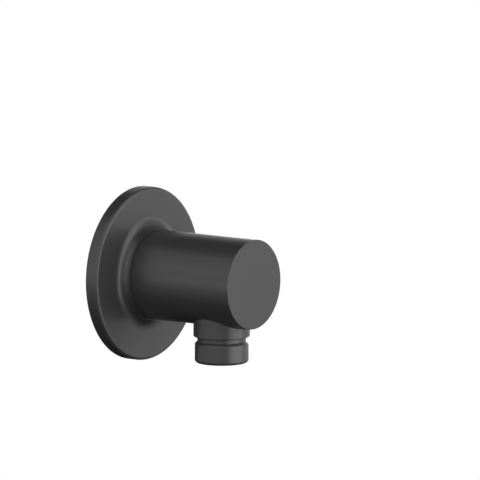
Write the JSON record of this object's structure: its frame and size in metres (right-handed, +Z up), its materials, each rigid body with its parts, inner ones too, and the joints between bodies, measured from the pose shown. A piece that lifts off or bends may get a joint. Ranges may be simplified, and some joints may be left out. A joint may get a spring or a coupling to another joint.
{
  "type": "wall outlet elbow",
  "caption": "Wall elbow for a shower hose: round flange with a swept collar, plain straight barrel and a threaded outlet pointing down, with a non-return valve inside.",
  "frame": {"origin": "centre of the flange's back, on the finished wall", "axes": "+Y into the wall, so the barrel stands out along -Y; +Z up, the outlet points along -Z"},
  "size_m": [0.0678, 0.0703, 0.0678],
  "materials": {
    "black_coating": "satin black coating on brass",
    "seal_rubber": "smooth black rubber",
    "soft_seal": "closed-cell sealing foam",
    "nipple_brass": "bare machined brass",
    "screw_steel": "stainless steel",
    "spring_steel": "stainless spring wire",
    "valve_plastic": "moulded white plastic",
    "poppet_plastic": "moulded blue plastic"
  },
  "bodies": {
    "fitting": {"cover_flange": "black_coating", "flange_o_ring": "seal_rubber", "wall_seal_ring": "soft_seal", "elbow_body": "black_coating", "wall_nipple": "nipple_brass", "spigot_o_ring_front": "seal_rubber", "spigot_o_ring_rear": "seal_rubber", "grub_screw": "screw_steel", "valve_housing": "valve_plastic", "valve_o_ring": "seal_rubber", "valve_guide": "valve_plastic", "valve_spring": "spring_steel"},
    "valve": {"valve_poppet": "poppet_plastic", "poppet_seal": "seal_rubber"}
  },
  "joints": [
    {"name": "valve_slide", "type": "slide", "parent": "fitting", "child": "valve", "axis": [0, 0, -1], "range_m": [0, 0.0024], "stiffness_N_per_m": 120, "springref_m": -0.004, "deforming": ["valve_spring"]}
  ]
}
